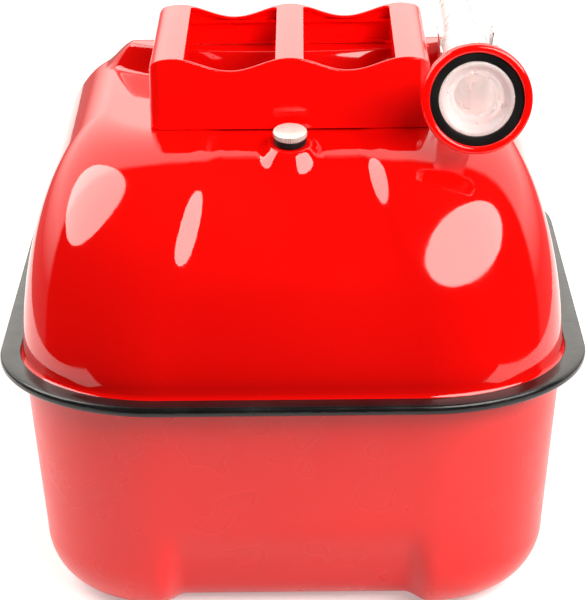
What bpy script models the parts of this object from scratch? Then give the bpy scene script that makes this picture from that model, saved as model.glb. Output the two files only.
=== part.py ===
"""A 20 litre steel fuel can that lies flat: two deep drawn shells, rubber edge trim, pressed
handle, vent screw at the near end (-Y), screw cap on the slope at the far end (+Y), and a
pouring spout held in two spring clips beside the handle. Metres, +Z up, origin at the middle
of the can on the floor."""

import math

import bmesh
import bpy
from mathutils import Matrix, Vector

# Plan of the can, over the rubber trim.
WIDTH = 0.300
LENGTH = 0.360
PLAN_CORNER = 0.085
SHEET = 0.0010
GAP = 0.0003

# Flanges of the two shells, and the trim that grips them.
SEAM_Z = 0.1235
FLANGE_EDGE = 0.0023
WALL_INSET = 0.0122
TRIM_THICK = 0.0050
TRIM_SLOT = 0.0030
TRIM_INNER = 0.0105
TRIM_BACK = 0.0019

# Lower shell.
LOWER_DRAFT = math.radians(5.2)
FOOT_RADIUS = 0.030
FOOT_RUN = 0.026
STAND_WIDTH = 0.014
PANEL_RUN = 0.004
PANEL_LIFT = 0.003
LOWER_RECESS = 0.012
LOWER_RECESS_Z = (0.015, 0.055)
LOWER_RECESS_X = (0.056, 0.069)

# Upper shell: an elliptical shoulder all round, a low deck, a raised deck, a slope at the far end.
DECK_Z = 0.2370
SHOULDER_SIDE = 0.045
SHOULDER_NEAR = 0.086
SHOULDER_FAR = 0.035
DECK_CORNER = 0.038
UPPER_RECESS = 0.009
UPPER_RECESS_X = (0.046, 0.058)
STEP_RISE = 0.015
STEP_RUN = 0.007
STEP_Y = 0.003
STEP_SWEEP = 0.034
STEP_HALF = 0.102
STEP_SIDE_RUN = 0.018
CREST_Y = 0.045
SLOPE_END = LENGTH / 2 - WALL_INSET - SHOULDER_FAR
SLOPE = math.radians(38)
CREST_SOFT = 0.010
DECK_CENTRE = (0.0, 0.035)
DECK_RINGS = (0.2, 0.35, 0.5, 0.65, 0.78, 0.86, 0.93)
SIDE_SPLITS = (0.15, 0.30, 0.42, 0.50, 0.54, 0.58, 0.66, 0.82)

# Handle: one pressed sheet with three bars that run along the can.
HANDLE_SHEET = 0.0014
HANDLE_HALF = 0.0705
HANDLE_NEAR = -0.083
HANDLE_FAR = 0.029
HANDLE_CORNER = 0.006
HANDLE_MEAN_Z = 0.2706
HANDLE_WAVE = 0.0033
HANDLE_PERIOD = 0.059
HANDLE_EDGE = 0.003
BAR_CENTRE_HALF = 0.007
BAR_OUTER_FROM = 0.053
LIP_Z = 0.2595
RIM_LEDGE = 0.003
WINDOW_END = 0.014
FOOT_FLANGE = 0.008

# Vent at the near end: its axis leans forward.
VENT_POINT = (0.0, -0.100, 0.2352)
VENT_LEAN = math.radians(11.7)
VENT_PAD = 0.0105
VENT_BOSS = 0.0185
VENT_BOSS_DEPTH = 0.0075
VENT_HEAD = 0.0085
VENT_SHANK = 0.0039

# Filler neck on the slope.
NECK_Y = 0.095
NECK_OUTER = 0.0231
NECK_BORE = 0.0192
NECK_ROOT = 0.0200
NECK_TOP = 0.0200
CAP_OUTER = 0.0275

# Spout, stored along the right side of the handle. Its base bends up by a few degrees.
SPOUT_X = 0.0912
SPOUT_Z = 0.2600
NUT_FRONT = -0.125
NUT_LENGTH = 0.014
NUT_OUTER = 0.0272
NUT_BORE = 0.0235
BASE_LIFT = math.radians(7)
BASE_LENGTH = 0.022
ELBOW_RADIUS = 0.110
TUBE_RADIUS = 0.0125
TUBE_WALL = 0.0020
TUBE_SHOULDER = -0.010
TIP_RADIUS = 0.0095
TIP_END = 0.089
CLIP_PLACES = (("front", -0.057), ("rear", -0.020))
CLIP_WIDTH = 0.014

PAINT = ("red_paint", (0.78, 0.012, 0.006), 0.10, 0.0)
RUBBER = ("black_rubber", (0.012, 0.012, 0.013), 0.32, 0.0)
GASKET = ("black_gasket", (0.015, 0.014, 0.014), 0.45, 0.0)
ZINC = ("zinc_plate", (0.62, 0.61, 0.58), 0.34, 1.0)
STEEL = ("spring_steel", (0.55, 0.54, 0.53), 0.28, 1.0)
PLASTIC = ("white_plastic", (0.86, 0.84, 0.82), 0.30, 0.0)


def clear_scene():
    for obj in list(bpy.data.objects):
        bpy.data.objects.remove(obj, do_unlink=True)


def material(spec):
    name, colour, roughness, metallic = spec
    found = bpy.data.materials.get(name)
    if found:
        return found
    made = bpy.data.materials.new(name)
    made.use_nodes = True
    shader = made.node_tree.nodes["Principled BSDF"]
    shader.inputs["Base Color"].default_value = (*colour, 1.0)
    shader.inputs["Roughness"].default_value = roughness
    shader.inputs["Metallic"].default_value = metallic
    return made


def add_object(name, shape, spec, place=None):
    bmesh.ops.remove_doubles(shape, verts=shape.verts[:], dist=1e-6)
    bmesh.ops.recalc_face_normals(shape, faces=shape.faces[:])
    mesh = bpy.data.meshes.new(name)
    shape.to_mesh(mesh)
    shape.free()
    mesh.shade_smooth()
    mesh.set_sharp_from_angle(angle=math.radians(32))
    mesh.materials.append(material(spec))
    obj = bpy.data.objects.new(name, mesh)
    bpy.context.scene.collection.objects.link(obj)
    if place:
        obj.matrix_world = place
    return obj


def add_cutter(name, shape, place=None):
    cutter = add_object(name, shape, STEEL, place)
    cutter.hide_render = True
    cutter.display_type = "WIRE"
    return cutter


def boolean(obj, operation, other):
    modifier = obj.modifiers.new(other.name, "BOOLEAN")
    modifier.operation = operation
    modifier.solver = "EXACT"
    modifier.object = other


def smooth(low, high, value):
    t = min(max((value - low) / (high - low), 0.0), 1.0)
    return t * t * (3 - 2 * t)


def soft_min(a, b, width):
    mix = min(max(0.5 + 0.5 * (b - a) / width, 0.0), 1.0)
    return b + (a - b) * mix - width * mix * (1 - mix)


def even(parts):
    return [k / parts for k in range(1, parts)]


def outline(half_x, near, far, near_corner, far_corner, arc=8, along=SIDE_SPLITS, across=10):
    """Points of a rounded rectangle, anticlockwise from the near end's left corner."""
    back = [1 - split for split in reversed(along)]
    corners = (
        (half_x - near_corner, near + near_corner, near_corner, -90, even(across)),
        (half_x - far_corner, far - far_corner, far_corner, 0, along),
        (far_corner - half_x, far - far_corner, far_corner, 90, even(across)),
        (near_corner - half_x, near + near_corner, near_corner, 180, back),
    )
    points = []
    for number, (cx, cy, radius, start, splits) in enumerate(corners):
        px, py, p_radius, p_start, _ = corners[number - 1]
        end = math.radians(p_start + 90)
        before = Vector((px + p_radius * math.cos(end), py + p_radius * math.sin(end)))
        begin = math.radians(start)
        after = Vector((cx + radius * math.cos(begin), cy + radius * math.sin(begin)))
        points += [before.lerp(after, split) for split in splits]
        for k in range(arc + 1):
            angle = math.radians(start + 90 * k / arc)
            points.append(Vector((cx + radius * math.cos(angle), cy + radius * math.sin(angle))))
    return points


def inset_outline(inset, **detail):
    half_x = WIDTH / 2 - inset
    half_y = LENGTH / 2 - inset
    corner = PLAN_CORNER - inset
    return outline(half_x, -half_y, half_y, corner, corner, **detail)


def loft(loops, close_ends=False, closed_ring=False):
    """Joins loops of equally many points; a loop of one point makes a fan."""
    shape = bmesh.new()
    rings = [[shape.verts.new(point) for point in loop] for loop in loops]
    pairs = list(zip(rings, rings[1:]))
    if closed_ring:
        pairs.append((rings[-1], rings[0]))
    for lower, upper in pairs:
        count = max(len(lower), len(upper))
        for k in range(count):
            nxt = (k + 1) % count
            if len(lower) == 1:
                shape.faces.new((lower[0], upper[nxt], upper[k]))
            elif len(upper) == 1:
                shape.faces.new((lower[k], lower[nxt], upper[0]))
            else:
                shape.faces.new((lower[k], lower[nxt], upper[nxt], upper[k]))
    if close_ends:
        shape.faces.new(rings[0][::-1])
        shape.faces.new(rings[-1])
    return shape


def lathe(profile, steps=32):
    """Turns a closed profile of (radius, height) points about the local Z axis."""
    shape = bmesh.new()
    verts = [shape.verts.new((radius, 0.0, height)) for radius, height in profile]
    edges = [shape.edges.new((a, b)) for a, b in zip(verts, verts[1:] + verts[:1])
             if a.co.x > 1e-7 or b.co.x > 1e-7]
    bmesh.ops.spin(shape, geom=verts + edges, cent=(0, 0, 0), axis=(0, 0, 1),
                   angle=math.tau, steps=steps, use_merge=True, use_duplicate=False)
    return shape


def box(low, high):
    shape = bmesh.new()
    bmesh.ops.create_cube(shape, size=1.0)
    for vert in shape.verts:
        vert.co = Vector([(a + b) / 2 + (b - a) * c for a, b, c in zip(low, high, vert.co)])
    return shape


def extrude_outline(points, direction):
    """A prism on a flat closed outline of 3-D points."""
    shape = bmesh.new()
    face = shape.faces.new([shape.verts.new(point) for point in points])
    made = bmesh.ops.extrude_face_region(shape, geom=[face])["geom"]
    moved = [item for item in made if isinstance(item, bmesh.types.BMVert)]
    bmesh.ops.translate(shape, verts=moved, vec=direction)
    return shape


def join(shapes):
    """One bmesh that holds several."""
    whole = bmesh.new()
    for shape in shapes:
        mesh = bpy.data.meshes.new("joined")
        shape.to_mesh(mesh)
        shape.free()
        whole.from_mesh(mesh)
        bpy.data.meshes.remove(mesh)
    return whole


def frame(point, axis):
    """A placement with local Z along a direction in the YZ plane, and local X along world X."""
    up = Vector(axis).normalized()
    across = Vector((1, 0, 0))
    turn = Matrix((across, up.cross(across), up)).transposed()
    return Matrix.Translation(point) @ turn.to_4x4()


# Shells and trim.

def recess(point, depth, window, ends):
    """Moves a point of an end wall inwards, in the middle part of that end."""
    amount = depth * (1 - smooth(*window, abs(point.x)))
    if point.y < 0:
        point.y += amount
    elif ends == 2:
        point.y -= amount
    return point


def lower_loop(inset, z):
    fade = 1 - smooth(*LOWER_RECESS_Z, z)
    plan = inset_outline(inset, arc=9, along=(), across=3)
    points = [recess(p, LOWER_RECESS * fade, LOWER_RECESS_X, 2) for p in plan]
    return [(p.x, p.y, z) for p in points]


def lower_side(skin):
    """Loops down one side of the lower shell's sheet, from the flange to the floor panel."""
    root = SEAM_Z - 0.00015 - SHEET
    straight = root - FOOT_RADIUS
    levels = []
    for k in range(4):
        depth = straight * k / 4
        levels.append((WALL_INSET + depth * math.tan(LOWER_DRAFT), root - depth))
    foot = WALL_INSET + straight * math.tan(LOWER_DRAFT)
    for k in range(7):
        angle = math.radians(90 * k / 6)
        run = (FOOT_RUN - skin) * (1 - math.cos(angle))
        drop = (FOOT_RADIUS - skin) * math.sin(angle)
        levels.append((foot + run, FOOT_RADIUS - drop))
    levels = [(inset + skin, z) for inset, z in levels]
    stand = foot + FOOT_RUN + STAND_WIDTH
    levels.append((stand, skin))
    levels.append((stand + PANEL_RUN, PANEL_LIFT + skin))
    loops = [lower_loop(inset, z) for inset, z in levels]
    loops.append([(0.0, 0.0, PANEL_LIFT + skin)])
    return loops


def make_lower_shell():
    flange_top = SEAM_Z - 0.00015
    edge = [lower_loop(FLANGE_EDGE, flange_top - SHEET), lower_loop(FLANGE_EDGE, flange_top),
            lower_loop(WALL_INSET + SHEET, flange_top)]
    loops = lower_side(0.0)[::-1] + edge + lower_side(SHEET)
    return add_object("lower_shell", loft(loops), PAINT)


def deck_height(x, y):
    front = STEP_Y + STEP_SWEEP * (abs(x) / STEP_HALF) ** 3
    rise = smooth(0, STEP_RUN, y - front) * smooth(0, STEP_SIDE_RUN, STEP_HALF - abs(x))
    plateau = DECK_Z + STEP_RISE * rise
    slope = DECK_Z + STEP_RISE - math.tan(SLOPE) * (min(y, SLOPE_END) - CREST_Y)
    return soft_min(plateau, slope, CREST_SOFT)


def upper_loop(angle, skin):
    turn = 1 - math.cos(angle)
    inset = WALL_INSET + skin * (1 - turn)
    half_x = WIDTH / 2 - inset - SHOULDER_SIDE * turn
    near = -LENGTH / 2 + inset + SHOULDER_NEAR * turn
    far = LENGTH / 2 - inset - SHOULDER_FAR * turn
    corner = (PLAN_CORNER - inset) * (1 - turn) + DECK_CORNER * turn
    lift = math.sin(angle)
    root = SEAM_Z + 0.00015 + SHEET
    points = outline(half_x, near, far, corner, corner)
    depth = UPPER_RECESS * smooth(0.45, 0.95, lift)
    points = [recess(p, depth, UPPER_RECESS_X, 1) for p in points]
    return [(p.x, p.y, root + (deck_height(p.x, p.y) - skin - root) * lift) for p in points]


def upper_side(skin):
    """Loops down one side of the upper shell's sheet, from the deck's middle to the flange."""
    rim = upper_loop(math.pi / 2, skin)
    loops = [[(*DECK_CENTRE, deck_height(*DECK_CENTRE) - skin)]]
    for part in DECK_RINGS:
        ring = []
        for x, y, _ in rim:
            px = DECK_CENTRE[0] + (x - DECK_CENTRE[0]) * part
            py = DECK_CENTRE[1] + (y - DECK_CENTRE[1]) * part
            ring.append((px, py, deck_height(px, py) - skin))
        loops.append(ring)
    levels = 8
    loops += [upper_loop(math.pi / 2 * k / levels, skin) for k in range(levels, -1, -1)]
    return loops


def make_upper_shell():
    flange_under = SEAM_Z + 0.00015
    edges = [(FLANGE_EDGE, flange_under + SHEET), (FLANGE_EDGE, flange_under),
             (WALL_INSET + SHEET, flange_under)]
    flange = [[(p.x, p.y, z) for p in inset_outline(inset)] for inset, z in edges]
    loops = upper_side(0.0) + flange + upper_side(SHEET)[::-1]
    shell = add_object("upper_shell", loft(loops), PAINT)
    boss = lathe([(0, 0), (VENT_PAD, 0), (VENT_BOSS, -VENT_BOSS_DEPTH), (0, -VENT_BOSS_DEPTH)], 32)
    boolean(shell, "UNION", add_cutter("vent_boss", boss, vent_frame()))
    pocket = lathe([(0, -0.0012), (0.0070, -0.0012), (0.0070, -0.020), (0, -0.020)], 24)
    boolean(shell, "DIFFERENCE", add_cutter("vent_pocket", pocket, vent_frame()))
    hole = lathe([(0, 0.004), (0.0046, 0.004), (0.0046, -0.004), (0, -0.004)], 20)
    boolean(shell, "DIFFERENCE", add_cutter("vent_hole", hole, vent_frame()))
    mouth = NECK_ROOT + 0.0005
    mouth_cut = lathe([(0, 0.010), (mouth, 0.010), (mouth, -0.010), (0, -0.010)], 32)
    boolean(shell, "DIFFERENCE", add_cutter("neck_hole", mouth_cut, neck_frame()))
    return shell


def make_edge_trim():
    """A rubber channel that grips both flanges, with a rounded back."""
    half = TRIM_THICK / 2
    slot = TRIM_SLOT / 2
    round_edge = 0.0016
    section = [(TRIM_INNER, half), (round_edge, half), (0.0004, half - 0.0008),
               (0.0, 0.0), (0.0004, 0.0008 - half), (round_edge, -half), (TRIM_INNER, -half),
               (TRIM_INNER, -slot), (TRIM_BACK, -slot), (TRIM_BACK, slot), (TRIM_INNER, slot)]
    detail = {"arc": 10, "along": (), "across": 1}
    loops = [[(p.x, p.y, SEAM_Z + z) for p in inset_outline(inset, **detail)]
             for inset, z in section]
    return add_object("edge_trim", loft(loops, closed_ring=True), RUBBER)


# Handle.

def handle_top(x):
    return HANDLE_MEAN_Z + HANDLE_WAVE * math.cos(math.tau * x / HANDLE_PERIOD)


def handle_body(skin, bottom):
    """The handle's outer form, or with a skin the space under its sheet."""
    half = HANDLE_HALF - skin
    edge = HANDLE_EDGE - skin
    ends = [(HANDLE_NEAR + skin, HANDLE_NEAR + HANDLE_EDGE), (HANDLE_FAR - skin, HANDLE_FAR - HANDLE_EDGE)]
    stations = [(ends[0][0], edge)]
    stations += [(ends[0][1] - edge * math.sin(a), edge * (1 - math.cos(a)))
                 for a in (math.radians(60), math.radians(30), 0.0)]
    stations += [(ends[1][1] + edge * math.sin(a), edge * (1 - math.cos(a)))
                 for a in (0.0, math.radians(30), math.radians(60))]
    stations += [(ends[1][0], edge)]
    columns = 20
    loops = []
    for y, drop in stations:
        top = []
        for k in range(columns + 1):
            x = -half + 2 * half * k / columns
            side = max(abs(x) - (half - edge), 0.0)
            fall = max(drop, edge - math.sqrt(max(edge * edge - side * side, 0.0)))
            top.append((x, y, handle_top(x) - skin - fall))
        loops.append([(half, y, bottom), (-half, y, bottom)] + top)
    return loft(loops, close_ends=True)


def make_handle():
    foot = DECK_Z + GAP
    raised = DECK_Z + STEP_RISE + GAP
    handle = add_object("handle", handle_body(0.0, foot), PAINT)
    plan = outline(HANDLE_HALF, HANDLE_NEAR, HANDLE_FAR, HANDLE_CORNER, HANDLE_CORNER,
                   arc=6, along=(), across=1)
    prism = extrude_outline([(p.x, p.y, foot - 0.01) for p in plan], (0, 0, 0.06))
    boolean(handle, "INTERSECT", add_cutter("handle_plan", prism))
    boolean(handle, "DIFFERENCE", add_cutter("handle_hollow", handle_body(HANDLE_SHEET, foot - 0.02)))
    sheet = HANDLE_SHEET
    near = HANDLE_NEAR + sheet / 2
    far = HANDLE_FAR - sheet / 2
    lip_top = HANDLE_MEAN_Z + 0.0015
    lips = []
    for side in (-1, 1):
        for inner, outer in ((BAR_CENTRE_HALF - sheet, BAR_CENTRE_HALF),
                             (BAR_OUTER_FROM, BAR_OUTER_FROM + sheet)):
            low, high = sorted((side * inner, side * outer))
            lips.append(box((low, near, LIP_Z), (high, far, lip_top)))
    inside = HANDLE_HALF - sheet / 2
    front_flange = box((-inside, near, foot), (inside, near + FOOT_FLANGE, foot + sheet))
    rear_flange = box((-inside, far - FOOT_FLANGE, raised), (inside, far, raised + sheet))
    ledge = box((-inside, far - RIM_LEDGE - sheet, 0.2640), (inside, far, 0.2640 + sheet))
    for name, shape in (("handle_lips", join(lips)), ("handle_flange_near", front_flange),
                        ("handle_flange_far", rear_flange), ("handle_ledge", ledge)):
        boolean(handle, "UNION", add_cutter(name, shape))
    for side in (-1, 1):
        low, high = sorted((side * BAR_CENTRE_HALF, side * BAR_OUTER_FROM))
        opening = box((low, HANDLE_NEAR + sheet, foot + 0.004),
                      (high, HANDLE_FAR - sheet - RIM_LEDGE, 0.30))
        boolean(handle, "DIFFERENCE", add_cutter(f"finger_opening_{side + 1}", opening))
        low, high = sorted((side * (HANDLE_HALF - 0.010), side * (HANDLE_HALF + 0.010)))
        window = box((low, HANDLE_NEAR + WINDOW_END, foot - 0.01),
                     (high, HANDLE_FAR - WINDOW_END, LIP_Z))
        boolean(handle, "DIFFERENCE", add_cutter(f"handle_window_{side + 1}", window))
    under = box((-0.09, STEP_Y, foot - 0.01), (0.09, HANDLE_FAR + 0.01, raised))
    boolean(handle, "DIFFERENCE", add_cutter("handle_rear_foot", under))
    return handle


# Vent.

def vent_frame():
    return frame(VENT_POINT, (0, -math.sin(VENT_LEAN), math.cos(VENT_LEAN)))


def make_vent():
    place = vent_frame()
    bush = [(0.00425, -0.0015), (0.0066, -0.0015), (0.0066, -0.0110), (0.00425, -0.0110)]
    add_object("vent_bush", lathe(bush, 20), ZINC, place)
    washer = [(0.0043, 0.0003), (0.0043, 0.0037), (0.0079, 0.0037), (0.0082, 0.0034),
              (0.0082, 0.0006), (0.0079, 0.0003)]
    add_object("vent_washer", lathe(washer, 24), GASKET, place)
    head = VENT_HEAD
    screw = [(0, 0.0076), (0.0050, 0.0075), (head - 0.0008, 0.0070), (head, 0.0064),
             (head, 0.0043), (head - 0.0003, 0.0040), (VENT_SHANK, 0.0040),
             (VENT_SHANK, -0.0177), (0.0031, -0.0177), (0.0031, -0.0187),
             (VENT_SHANK, -0.0187), (VENT_SHANK - 0.0006, -0.0202), (0, -0.0202)]
    vent_screw = add_object("vent_screw", lathe(screw, 24), ZINC, place)
    slot = box((-0.0005, -0.0045, 0.0068), (0.0005, 0.0045, 0.0090))
    boolean(vent_screw, "DIFFERENCE", add_cutter("screw_slot", slot, place))
    circlip = [(0.0034, -0.0186), (0.0034, -0.0178), (0.0056, -0.0178), (0.0056, -0.0186)]
    add_object("vent_circlip", lathe(circlip, 20), STEEL, place)


# Filler neck and cap.

def neck_frame():
    z = deck_height(0.0, NECK_Y)
    return frame((0.0, NECK_Y, z), (0, math.sin(SLOPE), math.cos(SLOPE)))


def make_filler():
    place = neck_frame()
    collar = [(NECK_ROOT + 0.0004, GAP), (0.0290, GAP), (0.0284, 0.0020), (0.0262, 0.0024),
              (NECK_ROOT + 0.0004, 0.0024)]
    add_object("neck_collar", lathe(collar), PAINT, place)
    bore = NECK_BORE
    neck = [(bore, NECK_TOP), (bore, -0.0060), (NECK_ROOT, -0.0060), (NECK_ROOT, 0.0030),
            (NECK_OUTER - 0.0009, 0.0052), (NECK_OUTER - 0.0009, 0.0085)]
    for turn in range(3):
        low = 0.0085 + 0.0035 * turn
        neck += [(NECK_OUTER, low + 0.0008), (NECK_OUTER, low + 0.0020),
                 (NECK_OUTER - 0.0009, low + 0.0028)]
    neck += [(NECK_OUTER - 0.0009, NECK_TOP - 0.0004), (NECK_OUTER - 0.0013, NECK_TOP)]
    add_object("filler_neck", lathe(neck), PAINT, place)
    seal = [(NECK_BORE, 0.0203), (NECK_BORE, 0.0228), (NECK_OUTER, 0.0228), (NECK_OUTER, 0.0203)]
    add_object("cap_gasket", lathe(seal), GASKET, place)
    skirt = CAP_OUTER - 0.0034
    cap = [(0, 0.0280), (0.0150, 0.0278), (0.0195, 0.0272), (0.0205, 0.0262), (0.0250, 0.0262),
           (CAP_OUTER - 0.0006, 0.0250), (CAP_OUTER, 0.0236), (CAP_OUTER, 0.0076),
           (CAP_OUTER - 0.0008, 0.0068), (skirt, 0.0068), (skirt, 0.0231), (0, 0.0231)]
    filler_cap = add_object("filler_cap", lathe(cap, 36), PAINT, place)
    flutes = []
    for k in range(12):
        angle = math.tau * k / 12
        flute = lathe([(0, 0.034), (0.0032, 0.034), (0.0032, 0.004), (0, 0.004)], 8)
        reach = CAP_OUTER + 0.0019
        bmesh.ops.translate(flute, verts=flute.verts[:],
                            vec=(reach * math.cos(angle), reach * math.sin(angle), 0))
        flutes.append(flute)
    boolean(filler_cap, "DIFFERENCE", add_cutter("cap_flutes", join(flutes), place))


# Spout and its clips.

def elbow_point(angle):
    """The tube's centre where it still leans down by this angle, and its direction there."""
    straight = BASE_LENGTH + GAP
    lean = BASE_LIFT
    y = NUT_FRONT + straight * math.cos(lean) + ELBOW_RADIUS * (math.sin(lean) - math.sin(angle))
    z = SPOUT_Z + ELBOW_RADIUS * (1 - math.cos(angle))
    return Vector((SPOUT_X, y, z)), Vector((0, math.cos(angle), -math.sin(angle)))


def spout_frame():
    """Local Z runs into the spout from the middle of the nut's mouth."""
    start, along = elbow_point(BASE_LIFT)
    return frame(start - along * (BASE_LENGTH + GAP), along)


def tube_ring(centre, along, radius, steps=24):
    across = Vector((1, 0, 0))
    up = along.cross(across)
    turns = [math.tau * k / steps for k in range(steps)]
    return [centre + radius * (math.cos(a) * across + math.sin(a) * up) for a in turns]


def make_spout_tube():
    """A bent stretch, a straight stretch, a rounded shoulder and a long thin tip, all hollow."""
    elbow = [elbow_point(BASE_LIFT * (3 - k) / 3) for k in range(4)]
    straight = Vector((0, 1, 0))
    bore = TUBE_RADIUS - TUBE_WALL
    outer = [(centre, along, TUBE_RADIUS) for centre, along in elbow]
    inner = [(centre, along, bore) for centre, along in elbow]
    for y, radius in ((TUBE_SHOULDER - 0.0020, TUBE_RADIUS),
                      (TUBE_SHOULDER - 0.0006, TUBE_RADIUS - 0.0006),
                      (TUBE_SHOULDER, TIP_RADIUS + 0.0010), (TUBE_SHOULDER + 0.0010, TIP_RADIUS),
                      (TIP_END, TIP_RADIUS - 0.0010)):
        outer.append((Vector((SPOUT_X, y, SPOUT_Z)), straight, radius))
    for y, radius in ((TUBE_SHOULDER - 0.0060, bore), (TUBE_SHOULDER, TIP_RADIUS - 0.0015),
                      (TIP_END, TIP_RADIUS - 0.0025)):
        inner.append((Vector((SPOUT_X, y, SPOUT_Z)), straight, radius))
    loops = [tube_ring(*ring) for ring in outer + inner[::-1]]
    add_object("spout_tube", loft(loops, closed_ring=True), PLASTIC)


def make_spout():
    place = spout_frame()
    bore = TUBE_RADIUS - TUBE_WALL
    base = [(0.0135, 0.0064), (0.0165, 0.0026), (0.0188, 0.0026), (0.0188, 0.0054),
            (0.0232, 0.0054), (0.0232, 0.0076), (0.0150, 0.0092), (TUBE_RADIUS, 0.0112),
            (TUBE_RADIUS, BASE_LENGTH), (bore, BASE_LENGTH), (bore, 0.0100)]
    add_object("spout_base", lathe(base), PLASTIC, place)
    make_spout_tube()
    seal = [(0.0191, 0.0025), (0.0191, 0.0051), (0.0232, 0.0051), (0.0232, 0.0025)]
    add_object("spout_gasket", lathe(seal), GASKET, place)
    back = NUT_LENGTH
    nut = [(NUT_BORE, 0.0012), (NUT_BORE + 0.0008, 0.0003), (NUT_BORE + 0.0016, 0.0),
           (NUT_OUTER - 0.0011, 0.0003), (NUT_OUTER - 0.0003, 0.0011), (NUT_OUTER, 0.0026),
           (NUT_OUTER - 0.0004, back - 0.0045), (NUT_OUTER - 0.0018, back - 0.0016),
           (NUT_OUTER - 0.0050, back), (0.0156, back), (0.0156, back - 0.0016),
           (NUT_BORE, back - 0.0016)]
    add_object("spout_ring_nut", lathe(nut, 36), PAINT, place)


def strip(path, thick):
    """The outline of a bent strip along a centre line in a plane."""
    left = []
    right = []
    for k, point in enumerate(path):
        before = path[max(k - 1, 0)]
        after = path[min(k + 1, len(path) - 1)]
        one = (point - before).normalized() if k else (after - point).normalized()
        two = (after - point).normalized() if k < len(path) - 1 else one
        normal = Vector((-(one + two).y, (one + two).x)).normalized()
        reach = thick / 2 / max(normal.dot(Vector((-one.y, one.x))), 0.5)
        left.append(point + normal * reach)
        right.append(point - normal * reach)
    return left + right[::-1]


def make_clip(name, y):
    """A hat shaped bracket on the deck, the spring clip on it and the rivet through both."""
    deck = DECK_Z + GAP
    hat_under = DECK_Z + 0.0050
    thin = 0.0012
    low_x, high_x = 0.080, 0.0935
    hat = [Vector(p) for p in ((-0.016, deck + thin / 2), (-0.0095, deck + thin / 2),
                               (-0.0075, hat_under + thin / 2), (0.0075, hat_under + thin / 2),
                               (0.0095, deck + thin / 2), (0.016, deck + thin / 2))]
    shape = extrude_outline([(low_x, y + p.x, p.y) for p in strip(hat, thin)],
                            (high_x - low_x, 0, 0))
    bracket = add_object(f"clip_bracket_{name}", shape, PAINT)
    spring = 0.0010
    base = hat_under + thin + GAP + spring / 2
    arm = TUBE_RADIUS + GAP + spring / 2 + 0.00005
    half = [Vector(p) for p in ((0.0075, base), (0.0095, base + 0.0009), (0.0118, base + 0.0050),
                                (arm, base + 0.0092), (arm, SPOUT_Z + 0.0060),
                                (arm + 0.0010, SPOUT_Z + 0.0110))]
    path = [Vector((-p.x, p.y)) for p in half[::-1]] + half
    shape = extrude_outline([(SPOUT_X + p.x, y - CLIP_WIDTH / 2, p.y) for p in strip(path, spring)],
                            (0, CLIP_WIDTH, 0))
    clip = add_object(f"spring_clip_{name}", shape, STEEL)
    rivet_x = 0.0885
    rivet_hole = lathe([(0, 0.26), (0.0019, 0.26), (0.0019, 0.238), (0, 0.238)], 16)
    hole = add_cutter(f"rivet_hole_{name}", rivet_hole, Matrix.Translation((rivet_x, y, 0)))
    boolean(bracket, "DIFFERENCE", hole)
    boolean(clip, "DIFFERENCE", hole)
    top = base + spring / 2 + GAP
    rivet = [(0, top + 0.0013), (0.0016, top + 0.0011), (0.0030, top), (0.0016, top),
             (0.0016, hat_under - GAP), (0.0026, hat_under - GAP), (0.0022, hat_under - 0.0018),
             (0, hat_under - 0.0018)]
    add_object(f"clip_rivet_{name}", lathe(rivet, 16), ZINC, Matrix.Translation((rivet_x, y, 0)))


def main():
    clear_scene()
    make_lower_shell()
    make_upper_shell()
    make_edge_trim()
    make_handle()
    make_vent()
    make_filler()
    make_spout()
    for name, y in CLIP_PLACES:
        make_clip(name, y)


main()
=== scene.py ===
"""Photo-real scene of the horizontal steel fuel can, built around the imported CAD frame."""

import math

import bmesh
import bpy
from mathutils import Matrix, Vector


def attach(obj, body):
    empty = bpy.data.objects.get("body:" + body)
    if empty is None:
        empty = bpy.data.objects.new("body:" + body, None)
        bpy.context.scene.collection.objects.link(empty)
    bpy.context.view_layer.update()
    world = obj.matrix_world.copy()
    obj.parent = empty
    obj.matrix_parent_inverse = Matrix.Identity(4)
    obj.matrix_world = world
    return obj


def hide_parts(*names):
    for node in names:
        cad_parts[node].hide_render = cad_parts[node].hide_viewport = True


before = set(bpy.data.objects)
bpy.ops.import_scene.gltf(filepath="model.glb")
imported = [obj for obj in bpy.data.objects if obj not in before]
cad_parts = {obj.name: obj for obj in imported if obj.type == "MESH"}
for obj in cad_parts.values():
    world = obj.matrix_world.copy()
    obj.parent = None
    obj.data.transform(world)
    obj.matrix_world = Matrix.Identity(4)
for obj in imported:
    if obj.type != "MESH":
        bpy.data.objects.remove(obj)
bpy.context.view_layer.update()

# Dimensions in metres, the same as the CAD model's.
WIDTH, LENGTH, PLAN_CORNER, SHEET = 0.300, 0.360, 0.085, 0.0010
SEAM_Z, FLANGE_EDGE, WALL_INSET = 0.1235, 0.0023, 0.0122
LOWER_DRAFT, FOOT_RADIUS, FOOT_RUN = math.radians(5.2), 0.030, 0.026
STAND_WIDTH, PANEL_RUN, PANEL_LIFT = 0.014, 0.004, 0.003
LOWER_RECESS, LOWER_RECESS_Z, LOWER_RECESS_X = 0.012, (0.015, 0.055), (0.056, 0.069)
DECK_Z, SHOULDER_SIDE, SHOULDER_NEAR, SHOULDER_FAR = 0.2370, 0.045, 0.086, 0.035
DECK_CORNER, UPPER_RECESS = 0.038, 0.009
FLANK_X, FLANK_LIFT, FLANK_LEAN, FLANK_HALF = 0.0445, 0.84, 0.032, 0.008
STEP_RISE, STEP_RUN, STEP_Y, STEP_SWEEP = 0.015, 0.007, 0.003, 0.034
STEP_HALF, STEP_SIDE_RUN = 0.102, 0.018
CREST_Y, CREST_SOFT, SLOPE = 0.045, 0.010, math.radians(38)
SLOPE_END = LENGTH / 2 - WALL_INSET - SHOULDER_FAR
DECK_CENTRE = (0.0, 0.035)
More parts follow.
